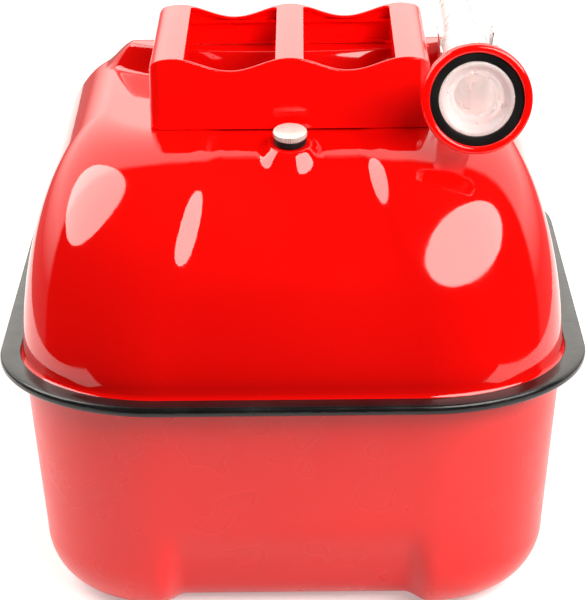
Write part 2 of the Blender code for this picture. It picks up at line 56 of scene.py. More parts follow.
HANDLE_SHEET, HANDLE_HALF, HANDLE_NEAR, HANDLE_FAR = 0.0014, 0.0705, -0.083, 0.029
HANDLE_CORNER, HANDLE_MEAN_Z, HANDLE_WAVE, HANDLE_PERIOD = 0.006, 0.2706, 0.0033, 0.059
HANDLE_EDGE, BAR_CENTRE_HALF, BAR_OUTER_FROM = 0.003, 0.007, 0.053
LIP_Z, RIM_LEDGE, WINDOW_END, FOOT_FLANGE = 0.2595, 0.003, 0.014, 0.008
VENT_POINT, VENT_LEAN = Vector((0.0, -0.100, 0.2352)), math.radians(11.7)
VENT_PAD, VENT_BOSS, VENT_BOSS_DEPTH, VENT_HEAD, VENT_SHANK = 0.0105, 0.0185, 0.0075, 0.0085, 0.0039
NECK_Y, NECK_OUTER, NECK_BORE, NECK_ROOT, NECK_TOP = 0.095, 0.0231, 0.0192, 0.0200, 0.0200
CAP_OUTER = 0.0275
SPOUT_X, SPOUT_Z, NUT_FRONT, NUT_LENGTH = 0.0912, 0.2600, -0.125, 0.014
NUT_OUTER, NUT_BORE, BASE_LIFT, BASE_LENGTH = 0.0272, 0.0235, math.radians(7), 0.022
ELBOW_RADIUS, TUBE_RADIUS, TUBE_WALL, TUBE_SHOULDER = 0.110, 0.0125, 0.0020, -0.010
TIP_RADIUS, TIP_END, GAP = 0.0095, 0.089, 0.0003
CLIP_PLACES, CLIP_WIDTH = (("front", -0.057), ("rear", -0.020)), 0.014
# The underside of the lower flange and the top of the upper one, with a hair of air between them.
LOWER_ROOT, UPPER_ROOT = SEAM_Z - 0.00015 - SHEET, SEAM_Z + 0.00015 + SHEET
# The visual model stays this far inside the CAD model's box.
INSET = 0.00002
# Points along a corner arc, a long side and a short side of the shells' plan.
PLAN_ARC, PLAN_ALONG, PLAN_ACROSS = 28, 56, 72
# The vent's cone fades into the deck between these distances from its axis.
BOSS_FADE, BOSS_REACH = 0.026, 0.034
# Studio, in metres and watts.
TABLE_EDGE, FLOOR_HALF_WIDTH, FLOOR_HALF_LENGTH, FLOOR_DROP = -0.42, 0.62, 0.90, 0.0006
LIGHT_TARGET, LIGHT_DISTANCE = Vector((0.0, -0.08, 0.19)), 1.8
WARM_LIGHT, WARM_BACKDROP = (1.0, 0.965, 0.91), (1.0, 0.965, 0.90)
DIM_ROOM, BRIGHT_BACKDROP = 0.03, 2.1


# Small helpers.

def smooth(low, high, value):
    t = min(max((value - low) / (high - low), 0.0), 1.0)
    return t * t * (3 - 2 * t)


def soft_min(a, b, width):
    mix = min(max(0.5 + 0.5 * (b - a) / width, 0.0), 1.0)
    return b + (a - b) * mix - width * mix * (1 - mix)


def even(parts):
    return [k / parts for k in range(1, parts)]


def outline(half_x, near, far, near_corner, far_corner, arc, along, across):
    """Points of a rounded rectangle, anticlockwise from the near end's left corner."""
    corners = (
        (half_x - near_corner, near + near_corner, near_corner, -90, across),
        (half_x - far_corner, far - far_corner, far_corner, 0, along),
        (far_corner - half_x, far - far_corner, far_corner, 90, across),
        (near_corner - half_x, near + near_corner, near_corner, 180, along),
    )
    points = []
    for number, (cx, cy, radius, start, parts) in enumerate(corners):
        px, py, p_radius, p_start, _ = corners[number - 1]
        end = math.radians(p_start + 90)
        before = Vector((px + p_radius * math.cos(end), py + p_radius * math.sin(end)))
        begin = math.radians(start)
        after = Vector((cx + radius * math.cos(begin), cy + radius * math.sin(begin)))
        points += [before.lerp(after, split) for split in even(parts)]
        for k in range(arc + 1):
            angle = math.radians(start + 90 * k / arc)
            points.append(Vector((cx + radius * math.cos(angle), cy + radius * math.sin(angle))))
    return points


def inset_outline(inset, arc=PLAN_ARC, along=PLAN_ALONG, across=PLAN_ACROSS):
    half_x = WIDTH / 2 - inset
    half_y = LENGTH / 2 - inset
    corner = PLAN_CORNER - inset
    return outline(half_x, -half_y, half_y, corner, corner, arc, along, across)


def loft(loops, close_ends=False, closed_ring=False):
    """Joins loops of equally many points; a loop of one point makes a fan."""
    shape = bmesh.new()
    rings = [[shape.verts.new(point) for point in loop] for loop in loops]
    pairs = list(zip(rings, rings[1:]))
    if closed_ring:
        pairs.append((rings[-1], rings[0]))
    for lower, upper in pairs:
        count = max(len(lower), len(upper))
        for k in range(count):
            nxt = (k + 1) % count
            if len(lower) == 1:
                shape.faces.new((lower[0], upper[nxt], upper[k]))
            elif len(upper) == 1:
                shape.faces.new((lower[k], lower[nxt], upper[0]))
            else:
                shape.faces.new((lower[k], lower[nxt], upper[nxt], upper[k]))
    if close_ends:
        shape.faces.new(rings[0][::-1])
        shape.faces.new(rings[-1])
    return shape


def rounded(profile, radius=0.0004, parts=3, keep=()):
    """A closed profile with each corner rounded; the corners named in keep stay sharp."""
    points = [Vector(p) for p in profile]
    made = []
    for k, point in enumerate(points):
        before = points[k - 1]
        after = points[(k + 1) % len(points)]
        reach = min(radius, (before - point).length * 0.45, (after - point).length * 0.45)
        if k in keep or point.x < 1e-6 or reach < 2e-5:
            made.append(point)
            continue
        a = point + (before - point).normalized() * reach
        b = point + (after - point).normalized() * reach
        for n in range(parts + 1):
            t = n / parts
            made.append(a * (1 - t) ** 2 + point * 2 * t * (1 - t) + b * t * t)
    return made


def lathe(profile, steps=96, warp=None):
    """Turns a closed profile of (radius, height) about local Z.

    warp(radius, height, angle) gives a changed radius.
    """
    on_axis = [p for p in profile if p[0] < 1e-7]
    loops = []
    for radius, height in profile:
        if radius < 1e-7:
            loops.append([(0.0, 0.0, height)])
            continue
        ring = []
        for k in range(steps):
            angle = math.tau * k / steps
            r = warp(radius, height, angle) if warp else radius
            ring.append((r * math.cos(angle), r * math.sin(angle), height))
        loops.append(ring)
    return loft(loops, closed_ring=not on_axis)


def extrude_outline(points, direction):
    shape = bmesh.new()
    face = shape.faces.new([shape.verts.new(point) for point in points])
    made = bmesh.ops.extrude_face_region(shape, geom=[face])["geom"]
    moved = [item for item in made if isinstance(item, bmesh.types.BMVert)]
    bmesh.ops.translate(shape, verts=moved, vec=direction)
    return shape


def frame_at(point, axis):
    """A placement with local Z along a direction in the YZ plane, and local X along world X."""
    up = Vector(axis).normalized()
    across = Vector((1, 0, 0))
    turn = Matrix((across, up.cross(across), up)).transposed()
    return Matrix.Translation(point) @ turn.to_4x4()


def new_object(name, shape, material=None, place=None, sharp=38):
    bmesh.ops.remove_doubles(shape, verts=shape.verts[:], dist=1e-6)
    bmesh.ops.recalc_face_normals(shape, faces=shape.faces[:])
    # An open sheet can come out facing inwards, which would thicken it outwards.
    middle = sum((vertex.co for vertex in shape.verts), Vector()) / len(shape.verts)
    outward = sum(face.calc_area() * face.normal.dot(face.calc_center_median() - middle)
                  for face in shape.faces)
    if outward < 0:
        bmesh.ops.reverse_faces(shape, faces=shape.faces[:])
    if place:
        bmesh.ops.transform(shape, matrix=place, verts=shape.verts[:])
    mesh = bpy.data.meshes.new(name)
    shape.to_mesh(mesh)
    shape.free()
    mesh.shade_smooth()
    mesh.set_sharp_from_angle(angle=math.radians(sharp))
    if material:
        mesh.materials.append(material)
    obj = bpy.data.objects.new(name, mesh)
    bpy.context.scene.collection.objects.link(obj)
    return obj


def applied(obj, sharp=38):
    """Bakes an object's modifiers into its mesh."""
    graph = bpy.context.evaluated_depsgraph_get()
    mesh = bpy.data.meshes.new_from_object(obj.evaluated_get(graph))
    obj.modifiers.clear()
    old = obj.data
    obj.data = mesh
    bpy.data.meshes.remove(old)
    mesh.shade_smooth()
    mesh.set_sharp_from_angle(angle=math.radians(sharp))


def boolean(obj, operation, shapes, sharp=38):
    """Applies an exact Boolean with each shape in turn."""
    cutters = []
    for number, shape in enumerate(shapes):
        cutter = new_object(f"{obj.name}_cutter_{number}", shape)
        cutters.append(cutter)
        modifier = obj.modifiers.new(cutter.name, "BOOLEAN")
        modifier.operation = operation
        modifier.solver = "EXACT"
        modifier.object = cutter
    applied(obj, sharp)
    for cutter in cutters:
        bpy.data.objects.remove(cutter, do_unlink=True)


def bevel(obj, width):
    """Adds a fine rounding of every edge sharper than 50 degrees."""
    modifier = obj.modifiers.new("edge_rounding", "BEVEL")
    modifier.width = width
    modifier.segments = 2
    modifier.limit_method = "ANGLE"
    modifier.angle_limit = math.radians(50)


def thicken(obj, sharp):
    """Gives a surface the thickness of the sheet, inwards."""
    solid = obj.modifiers.new("sheet", "SOLIDIFY")
    solid.thickness = SHEET - 2 * INSET
    solid.offset = -1
    applied(obj, sharp)


def stand_for(obj, body, slot, *nodes):
    """The piece rides on its body and stands for its CAD nodes, which it hides; the slot argument
    is not used.
    """
    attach(obj, body)
    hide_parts(*nodes)


# Materials.

def node(tree, kind, **inputs):
    made = tree.nodes.new(kind)
    for name, value in inputs.items():
        made.inputs[name.replace("_", " ")].default_value = value
    return made


def surface(name, **values):
    """A material with its Principled node and object coordinates in metres."""
    made = bpy.data.materials.new(name)
    made.use_nodes = True
    tree = made.node_tree
    shader = tree.nodes["Principled BSDF"]
    for key, value in values.items():
        shader.inputs[key.replace("_", " ")].default_value = value
    coords = tree.nodes.new("ShaderNodeTexCoord").outputs["Object"]
    return made, tree, shader, coords


def noise_of(tree, coords, scale, detail=3.0, rough=0.5, stretch=None):
    if stretch:
        mapping = tree.nodes.new("ShaderNodeMapping")
        mapping.inputs["Scale"].default_value = stretch
        tree.links.new(coords, mapping.inputs["Vector"])
        coords = mapping.outputs["Vector"]
    made = node(tree, "ShaderNodeTexNoise", Scale=scale, Detail=detail, Roughness=rough)
    tree.links.new(coords, made.inputs["Vector"])
    return made.outputs["Fac"]


def ranged(tree, source, low, high, to_low, to_high):
    made = node(tree, "ShaderNodeMapRange", From_Min=low, From_Max=high,
                To_Min=to_low, To_Max=to_high)
    tree.links.new(source, made.inputs["Value"])
    return made.outputs["Result"]


def spread_of(tree, source, low, high):
    """Noise is mostly between 0.3 and 0.7, which this spreads from low to high."""
    return ranged(tree, source, 0.3, 0.7, low, high)


def product_of(tree, first, second):
    made = tree.nodes.new("ShaderNodeMath")
    made.operation = "MULTIPLY"
    tree.links.new(first, made.inputs[0])
    tree.links.new(second, made.inputs[1])
    return made.outputs["Value"]


def blend_colours(tree, factor, first, second):
    made = tree.nodes.new("ShaderNodeMix")
    made.data_type = "RGBA"
    made.inputs["A"].default_value = (*first, 1)
    made.inputs["B"].default_value = (*second, 1)
    tree.links.new(factor, made.inputs["Factor"])
    return made.outputs["Result"]


def bump(tree, shader, layers):
    """Chains bump layers of (height socket, distance in metres)."""
    normal = None
    for height, distance in layers:
        made = node(tree, "ShaderNodeBump", Strength=1.0, Distance=distance)
        tree.links.new(height, made.inputs["Height"])
        if normal:
            tree.links.new(normal, made.inputs["Normal"])
        normal = made.outputs["Normal"]
    tree.links.new(normal, shader.inputs["Normal"])


def red_enamel(name, roughness, spread, peel, dark, light):
    """Stoved gloss enamel: slow colour drift, orange peel and a faint haze."""
    made, tree, shader, coords = surface(name)
    drift = spread_of(tree, noise_of(tree, coords, 9.0, 2.0), 0.0, 1.0)
    tree.links.new(blend_colours(tree, drift, dark, light), shader.inputs["Base Color"])
    haze = noise_of(tree, coords, 45.0, 1.0, 0.5)
    tree.links.new(spread_of(tree, haze, roughness - spread, roughness + spread),
                   shader.inputs["Roughness"])
    orange = noise_of(tree, coords, 260.0, 0.0)
    waves = noise_of(tree, coords, 28.0, 1.0, 0.4)
    bump(tree, shader, [(waves, 0.00012), (orange, peel)])
    return made


def make_rubber(name, roughness, specular, shade):
    """Extruded rubber: cloudy bloom, fine lines and grain."""
    made, tree, shader, coords = surface(name, Specular_IOR_Level=specular)
    patches = spread_of(tree, noise_of(tree, coords, 35.0, 4.0, 0.6), 0.0, 1.0)
    dark = tuple(0.7 * c for c in shade)
    light = tuple(1.5 * c for c in shade)
    tree.links.new(blend_colours(tree, patches, dark, light), shader.inputs["Base Color"])
    bloom = noise_of(tree, coords, 70.0, 5.0, 0.65)
    tree.links.new(spread_of(tree, bloom, roughness - 0.06, roughness + 0.08),
                   shader.inputs["Roughness"])
    lines = noise_of(tree, coords, 160.0, 3.0, 0.5, (1, 1, 9))
    grain = noise_of(tree, coords, 900.0, 2.0, 0.5)
    bump(tree, shader, [(lines, 0.00010), (grain, 0.00003)])
    return made


def make_metal(name, metallic, roughness, dark, light, stretch, depth):
    """Plated or rolled metal: cloudy tone and fine marks stretched one way."""
    made, tree, shader, coords = surface(name, Metallic=metallic)
    tone = spread_of(tree, noise_of(tree, coords, 60.0, 4.0, 0.6), 0.0, 1.0)
    tree.links.new(blend_colours(tree, tone, dark, light), shader.inputs["Base Color"])
    marks = noise_of(tree, coords, 300.0, 4.0, 0.6, stretch)
    tree.links.new(spread_of(tree, marks, roughness - 0.07, roughness + 0.10),
                   shader.inputs["Roughness"])
    bump(tree, shader, [(marks, depth)])
    return made


def make_plastic():
    """Milky polyethylene, which lets some light through, with a faint painted pinkish glow."""
    # Painted glow: the emission strength and its pink colour make the plastic give off faint light
    # of its own, standing in for the red can's light shining through it.
    made, tree, shader, coords = surface("white_polyethylene", Specular_IOR_Level=0.45,
                                         Subsurface_Weight=0.7, Subsurface_Scale=0.012,
                                         Transmission_Weight=0.6, Emission_Strength=0.10)
    shader.inputs["Subsurface Radius"].default_value = (1.0, 0.75, 0.65)
    shader.inputs["Emission Color"].default_value = (1.0, 0.86, 0.83, 1)
    cloud = spread_of(tree, noise_of(tree, coords, 40.0, 3.0, 0.5), 0.0, 1.0)
    tree.links.new(blend_colours(tree, cloud, (0.93, 0.88, 0.87), (0.96, 0.92, 0.91)),
                   shader.inputs["Base Color"])
    haze = noise_of(tree, coords, 130.0, 1.0, 0.5)
    tree.links.new(spread_of(tree, haze, 0.26, 0.38), shader.inputs["Roughness"])
    bump(tree, shader, [(noise_of(tree, coords, 220.0, 1.0, 0.5), 0.00004)])
    return made


UPPER_RED = red_enamel("red_enamel_upper", 0.055, 0.02, 0.000010,
                       (0.55, 0.0012, 0.0007), (0.61, 0.0020, 0.0011))
LOWER_RED = red_enamel("red_enamel_lower", 0.30, 0.04, 0.000012,
                       (0.56, 0.0014, 0.0009), (0.62, 0.0024, 0.0014))
FITTING_RED = red_enamel("red_enamel_fittings", 0.09, 0.02, 0.000010,
                         (0.86, 0.0016, 0.0009), (0.90, 0.0026, 0.0014))
TRIM_RUBBER = make_rubber("black_trim_rubber", 0.20, 0.32, (0.006, 0.006, 0.0065))
SEAL_RUBBER = make_rubber("black_seal_rubber", 0.42, 0.22, (0.004, 0.0038, 0.0038))
ZINC = make_metal("satin_zinc", 0.75, 0.46, (0.74, 0.73, 0.69), (0.86, 0.85, 0.81),
                  (1, 8, 1), 0.00002)
STEEL = make_metal("bright_spring_steel", 1.0, 0.24, (0.50, 0.49, 0.48), (0.66, 0.65, 0.64),
                   (1, 10, 1), 0.00001)
PLASTIC = make_plastic()


# Shells.

def deck_height(x, y):
    """The top of the upper shell: a deck, its raised part, and the far slope."""
    front = STEP_Y + STEP_SWEEP * (abs(x) / STEP_HALF) ** 3
    rise = smooth(0, STEP_RUN, y - front) * smooth(0, STEP_SIDE_RUN, STEP_HALF - abs(x))
    plateau = DECK_Z + STEP_RISE * rise
    slope = DECK_Z + STEP_RISE - math.tan(SLOPE) * (min(y, SLOPE_END) - CREST_Y)
    return soft_min(plateau, slope, CREST_SOFT)


def recess(point, depth, window, ends):
    """Presses the middle of the near end, or of both ends, inwards."""
    amount = depth * (1 - smooth(*window, abs(point.x)))
    if point.y < 0:
        point.y += amount
    elif ends == 2:
        point.y -= amount
    return point


def lower_loop(inset, z):
    fade = 1 - smooth(*LOWER_RECESS_Z, z)
    points = [recess(p, LOWER_RECESS * fade, LOWER_RECESS_X, 2) for p in inset_outline(inset)]
    return [(p.x, p.y, z) for p in points]


def make_lower_body():
    straight = LOWER_ROOT - FOOT_RADIUS
    turn = 0.0035
    levels = [(FLANGE_EDGE, LOWER_ROOT + INSET), (WALL_INSET - turn, LOWER_ROOT + INSET)]
    for k in range(1, 5):
        angle = math.radians(90 * k / 4)
        levels.append((WALL_INSET - turn + turn * math.sin(angle),
                       LOWER_ROOT - turn * (1 - math.cos(angle))))
    for k in range(1, 25):
        depth = turn + (straight - turn) * k / 24
        levels.append((WALL_INSET + depth * math.tan(LOWER_DRAFT), LOWER_ROOT - depth))
    foot = WALL_INSET + straight * math.tan(LOWER_DRAFT)
    for k in range(1, 19):
        angle = math.radians(90 * k / 18)
        levels.append((foot + FOOT_RUN * (1 - math.cos(angle)),
                       FOOT_RADIUS * (1 - math.sin(angle))))
    stand = foot + FOOT_RUN + STAND_WIDTH
    for k in range(7):
        t = k / 6
        levels.append((stand + PANEL_RUN * t, PANEL_LIFT * smooth(0, 1, t)))
    loops = [lower_loop(inset, max(z, INSET)) for inset, z in levels]
    loops.append([(0.0, 0.0, PANEL_LIFT)])
    body = new_object("lower_body", loft(loops), LOWER_RED, sharp=60)
    thicken(body, 60)
    stand_for(body, "can", "red_paint", "lower_shell")


def lifted_height(x, y, lift):
    return UPPER_ROOT + (deck_height(x, y) - UPPER_ROOT) * lift


def upper_loop(angle):
    """One level of the upper shell, from its foot (0) to the rim of the deck (90 degrees)."""
    turn = 1 - math.cos(angle)
    half_x = WIDTH / 2 - WALL_INSET - SHOULDER_SIDE * turn
    near = -LENGTH / 2 + WALL_INSET + SHOULDER_NEAR * turn
    far = LENGTH / 2 - WALL_INSET - SHOULDER_FAR * turn
    corner = (PLAN_CORNER - WALL_INSET) * (1 - turn) + DECK_CORNER * turn
    lift = math.sin(angle)
    points = outline(half_x, near, far, corner, corner, PLAN_ARC, PLAN_ALONG, PLAN_ACROSS)
    depth = UPPER_RECESS * smooth(0.45, 0.95, lift)
    flank = FLANK_X + (FLANK_LIFT - lift) * FLANK_LEAN
    window = (flank - FLANK_HALF, flank + FLANK_HALF)
    points = [recess(p, depth, window, 1) for p in points]
    return [(p.x, p.y, lifted_height(p.x, p.y, lift)) for p in points]


def boss_lift(place, inverse, point):
    """Raises the sheet into the vent's cone, along the vent's own axis."""
    local = inverse @ Vector(point)
    reach = math.hypot(local.x, local.y)
    if reach > BOSS_REACH:
        return point
    cone = -VENT_BOSS_DEPTH * max(reach - VENT_PAD, 0.0) / (VENT_BOSS - VENT_PAD)
    soft = 0.0020
    top = -soft_min(-cone, -local.z, soft)
    ceiling = soft_min(top, 0.0, 0.0007) if reach > VENT_PAD else min(top, 0.0)
    fade = smooth(BOSS_REACH, BOSS_FADE, reach) if local.z < 0 else 0.0
    return place @ Vector((local.x, local.y, local.z + (ceiling - local.z) * fade))


def refine_step(shape):
    """Splits the sheet finely at the step of the deck and puts it back on the true surface."""
    def near_step(point):
        reach = 0.056 if abs(point.x) > 0.060 else 0.016
        return abs(point.x) < 0.1375 and -0.008 < point.y < reach and point.z > 0.15

    edges = [e for e in shape.edges if all(near_step(v.co) for v in e.verts)]
    bmesh.ops.subdivide_edges(shape, edges=edges, cuts=3, use_grid_fill=True)
    side = WIDTH / 2 - WALL_INSET
    for vert in shape.verts:
        if not near_step(vert.co):
            continue
        part = max(side - abs(vert.co.x), 0.0) / SHOULDER_SIDE
        lift = math.sqrt(1 - (1 - part) ** 2) if part < 1 else 1.0
        vert.co.z = lifted_height(vert.co.x, vert.co.y, lift)


def make_upper_body():
    rim = upper_loop(math.pi / 2)
    loops = [[(*DECK_CENTRE, deck_height(*DECK_CENTRE))]]
    rings = 46
    for k in range(1, rings):
        part = (k / rings) ** 0.8
        ring = []
        for x, y, _ in rim:
            px = DECK_CENTRE[0] + (x - DECK_CENTRE[0]) * part
            py = DECK_CENTRE[1] + (y - DECK_CENTRE[1]) * part
            ring.append((px, py, deck_height(px, py)))
        loops.append(ring)
    levels = 56
    loops += [upper_loop(math.pi / 2 * k / levels) for k in range(levels, 0, -1)]
    turn = 0.003
    base = upper_loop(0.0)
    for k in range(4):
        angle = math.radians(90 * k / 3)
        out = turn * (1 - math.cos(angle)) if k else 0.0
        rise = turn * (1 - math.sin(angle))
        loops.append([(x * (1 + 2 * out / WIDTH), y * (1 + 2 * out / LENGTH), UPPER_ROOT + rise)
                      for x, y, _ in base])
    loops.append([(p.x, p.y, UPPER_ROOT - INSET) for p in inset_outline(FLANGE_EDGE)])
    shape = loft(loops)
    refine_step(shape)
    near_vent = [e for e in shape.edges
                 if all((v.co - VENT_POINT).length < BOSS_REACH + 0.002 for v in e.verts)]
    bmesh.ops.subdivide_edges(shape, edges=near_vent, cuts=2, use_grid_fill=True)
    place = vent_place()
    inverse = place.inverted()
    for vert in shape.verts:
        vert.co = boss_lift(place, inverse, vert.co)
    body = new_object("upper_body", shape, UPPER_RED, sharp=50)
    thicken(body, 50)
    hole = lathe([(0, 0.006), (0.0046, 0.006), (0.0046, -0.006), (0, -0.006)], 32)
    bmesh.ops.transform(hole, matrix=place, verts=hole.verts[:])
    mouth_radius = NECK_ROOT + 0.0005
    mouth = lathe([(0, 0.010), (mouth_radius, 0.010), (mouth_radius, -0.012), (0, -0.012)], 64)
    bmesh.ops.transform(mouth, matrix=neck_place(), verts=mouth.verts[:])
    boolean(body, "DIFFERENCE", [hole, mouth], 50)
    stand_for(body, "can", "red_paint", "upper_shell")


def make_trim():
    half, slot = 0.0025, 0.0015
    section = [(0.0105, half - 0.0005), (0.0102, half), (0.0060, half), (0.0016, half)]
    for k in range(1, 8):
        angle = math.pi * k / 8
        section.append((0.0016 - 0.0016 * math.sin(angle), half * math.cos(angle)))
    section += [(0.0016, -half), (0.0060, -half), (0.0102, -half), (0.0105, 0.0005 - half),
                (0.0105, -slot), (0.0019, -slot), (0.0019, slot), (0.0105, slot)]
    loops = []
    for inset, z in section:
        plan = inset_outline(max(inset, INSET), 36, 40, 40)
        loops.append([(p.x, p.y, SEAM_Z + z) for p in plan])
    trim = new_object("edge_rubber", loft(loops, closed_ring=True), TRIM_RUBBER, sharp=50)
    stand_for(trim, "can", "black_trim", "edge_trim")


# Handle.

def handle_top(x):
    return HANDLE_MEAN_Z + HANDLE_WAVE * math.cos(math.tau * x / HANDLE_PERIOD)


def handle_body(skin, bottom, columns=96):
    """The handle's outer form, or with a skin the space under its sheet."""
    half = HANDLE_HALF - skin
    edge = HANDLE_EDGE - skin
    fine = 0.0005 if skin else 0.0009
    near, far = HANDLE_NEAR + skin, HANDLE_FAR - skin
    stations = [(near, fine)]
    stations += [(near + fine * (1 - math.sin(a)), fine * (1 - math.cos(a)))
                 for a in (math.radians(d) for d in (70, 50, 30, 12, 0))]
    stations += [(far - edge * (1 - math.sin(a)), edge * (1 - math.cos(a)))
                 for a in (math.radians(d) for d in (0, 15, 30, 50, 70))]
    stations += [(far, edge)]
    side = 0.0050 - skin
    loops = []
    for y, drop in stations:
        top = []
        for k in range(columns + 1):
            t = -1 + 2 * k / columns
            if abs(t) > 0.8:
                x = half * math.sin(t * math.pi / 2)
            else:
                x = half * t * math.sin(0.4 * math.pi) / 0.8
            over = max(abs(x) - (half - side), 0.0)
            fall = max(drop, side - math.sqrt(max(side * side - over * over, 0.0)))
            top.append((x, y, handle_top(x) - skin - fall))
        loops.append([(half, y, bottom), (-half, y, bottom)] + top)
    return loft(loops, close_ends=True)


def block(low, high):
    shape = bmesh.new()
    bmesh.ops.create_cube(shape, size=1.0)
    for vert in shape.verts:
        vert.co = Vector([(a + b) / 2 + (b - a) * c for a, b, c in zip(low, high, vert.co)])
    return shape


def plan_prism(half_x, near, far, near_corner, far_corner, low, high, shift=0.0):
    plan = outline(half_x, near, far, near_corner, far_corner, 10, 1, 1)
    return extrude_outline([(p.x + shift, p.y, low) for p in plan], (0, 0, high - low))


def roll_lips(handle):
    """Rolls the top edges of the finger openings over, as the press leaves them."""
    shape = bmesh.new()
    shape.from_mesh(handle.data)
    bmesh.ops.remove_doubles(shape, verts=shape.verts[:], dist=1e-6)
    rolled = []
    for edge in shape.edges:
        if len(edge.link_faces) != 2 or edge.calc_face_angle() < math.radians(40):
            continue
        middle = (edge.verts[0].co + edge.verts[1].co) / 2
        on_side = any(abs(abs(middle.x) - edge_x) < 0.0002
                      for edge_x in (BAR_CENTRE_HALF, BAR_OUTER_FROM))
        opening_end = HANDLE_FAR - RIM_LEDGE - HANDLE_SHEET
        in_length = HANDLE_NEAR + 0.0024 < middle.y < opening_end - 0.004
        on_top = middle.z > handle_top(middle.x) - 0.0006
        if on_side and in_length and on_top:
            rolled.append(edge)
    bmesh.ops.bevel(shape, geom=rolled, offset=0.0012, offset_type="OFFSET", segments=4,
                    profile=0.5, affect="EDGES", clamp_overlap=True)
    shape.to_mesh(handle.data)
    shape.free()


def make_handle():
    foot = DECK_Z + GAP
    raised = DECK_Z + STEP_RISE + GAP
    sheet = HANDLE_SHEET
    handle = new_object("handle_pressing", handle_body(0.0, foot), FITTING_RED)
    prism = plan_prism(HANDLE_HALF, HANDLE_NEAR, HANDLE_FAR, HANDLE_CORNER, HANDLE_CORNER,
                       foot - 0.01, foot + 0.05)
    boolean(handle, "INTERSECT", [prism])
    hollow = new_object("handle_hollow", handle_body(sheet, foot - 0.02))
    inner = plan_prism(HANDLE_HALF - sheet, HANDLE_NEAR + sheet, HANDLE_FAR - sheet,
                       HANDLE_CORNER - sheet, HANDLE_CORNER - sheet, foot - 0.03, foot + 0.05)
    boolean(hollow, "INTERSECT", [inner])
    modifier = handle.modifiers.new("hollow", "BOOLEAN")
    modifier.operation, modifier.solver, modifier.object = "DIFFERENCE", "EXACT", hollow
    applied(handle)
    bpy.data.objects.remove(hollow, do_unlink=True)
    near = HANDLE_NEAR + sheet / 2
    far = HANDLE_FAR - sheet / 2
    lip_top = HANDLE_MEAN_Z + 0.0015
    lips = []
    for side in (-1, 1):
        for inner_x, outer_x in ((BAR_CENTRE_HALF - sheet, BAR_CENTRE_HALF),
                                 (BAR_OUTER_FROM, BAR_OUTER_FROM + sheet)):
            low, high = sorted((side * inner_x, side * outer_x))
            lips.append(block((low, near, LIP_Z), (high, far, lip_top)))
    inside = HANDLE_HALF - sheet / 2
    lips.append(block((-inside, near, foot), (inside, near + FOOT_FLANGE, foot + sheet)))
    lips.append(block((-inside, far - FOOT_FLANGE, raised), (inside, far, raised + sheet)))
    lips.append(block((-inside, far - RIM_LEDGE - sheet, 0.2640), (inside, far, 0.2640 + sheet)))
    boolean(handle, "UNION", lips)
    cuts = []
    for side in (-1, 1):
        half = (BAR_OUTER_FROM - BAR_CENTRE_HALF) / 2
        cuts.append(plan_prism(half, HANDLE_NEAR + sheet, HANDLE_FAR - sheet - RIM_LEDGE,
                               0.0008, 0.0040, foot + 0.004, 0.30,
                               side * (BAR_CENTRE_HALF + half)))
        low, high = sorted((side * (HANDLE_HALF - 0.010), side * (HANDLE_HALF + 0.010)))
        cuts.append(block((low, HANDLE_NEAR + WINDOW_END, foot - 0.01),
                          (high, HANDLE_FAR - WINDOW_END, LIP_Z)))
    cuts.append(block((-0.09, STEP_Y, foot - 0.01), (0.09, HANDLE_FAR + 0.01, raised)))
    boolean(handle, "DIFFERENCE", cuts)
    roll_lips(handle)
    bevel(handle, 0.00022)
    applied(handle, 50)
    flat = handle.modifiers.new("flat_faces", "WEIGHTED_NORMAL")
    flat.keep_sharp = True
    stand_for(handle, "can", "red_paint", "handle")


# Vent.

def vent_place():
    return frame_at(VENT_POINT, (0, -math.sin(VENT_LEAN), math.cos(VENT_LEAN)))


def make_vent():
    place = vent_place()
    washer = rounded([(0.0043, 0.0003), (0.0043, 0.0037), (0.0079, 0.0037), (0.0082, 0.0034),
                      (0.0082, 0.0006), (0.0079, 0.0003)], 0.0005)
    piece = new_object("vent_seal_ring", lathe(washer, 72), SEAL_RUBBER, place)
    stand_for(piece, "vent_seal", "black_gasket", "vent_washer")
    head = VENT_HEAD
    teeth = 46

    def knurl(radius, height, angle):
        depth = 0.00055 * (0.0043 < height < 0.0065) * (radius > head - 0.0004)
        return radius - depth * (0.5 - 0.5 * math.cos(teeth * angle))

    profile = [(0, 0.0076), (0.0030, 0.0076), (0.0050, 0.0075), (head - 0.0014, 0.0071),
               (head - 0.0007, 0.0069), (head - 0.0002, 0.0066), (head, 0.0063), (head, 0.0062),
               (head, 0.0060), (head, 0.0050), (head, 0.0047), (head, 0.0045),
               (head - 0.0003, 0.0040), (VENT_SHANK, 0.0040), (VENT_SHANK, 0.0032)]
    z = 0.0032
    while z > -0.0160:
        profile += [(VENT_SHANK, z - 0.0002), (VENT_SHANK - 0.00042, z - 0.0006),
                    (VENT_SHANK, z - 0.0010)]
        z -= 0.00125
    profile += [(VENT_SHANK, -0.0177), (0.0031, -0.0177), (0.0031, -0.0187), (VENT_SHANK, -0.0187),
                (VENT_SHANK - 0.0006, -0.0202), (0, -0.0202)]
    screw = new_object("vent_knob_screw", lathe(profile, teeth * 6, knurl), ZINC, sharp=30)
    turn = Matrix.Rotation(math.radians(-50), 4, "Z")
    slot = block((-0.0048, -0.00045, 0.0066), (0.0048, 0.00045, 0.0090))
    bmesh.ops.transform(slot, matrix=turn, verts=slot.verts[:])
    boolean(screw, "DIFFERENCE", [slot], 30)
    screw.data.transform(place)
    stand_for(screw, "vent_knob", "zinc_plate", "vent_screw")


# Filler neck and cap.

def neck_place():
    return frame_at((0.0, NECK_Y, deck_height(0.0, NECK_Y)),
                    (0, math.sin(SLOPE), math.cos(SLOPE)))


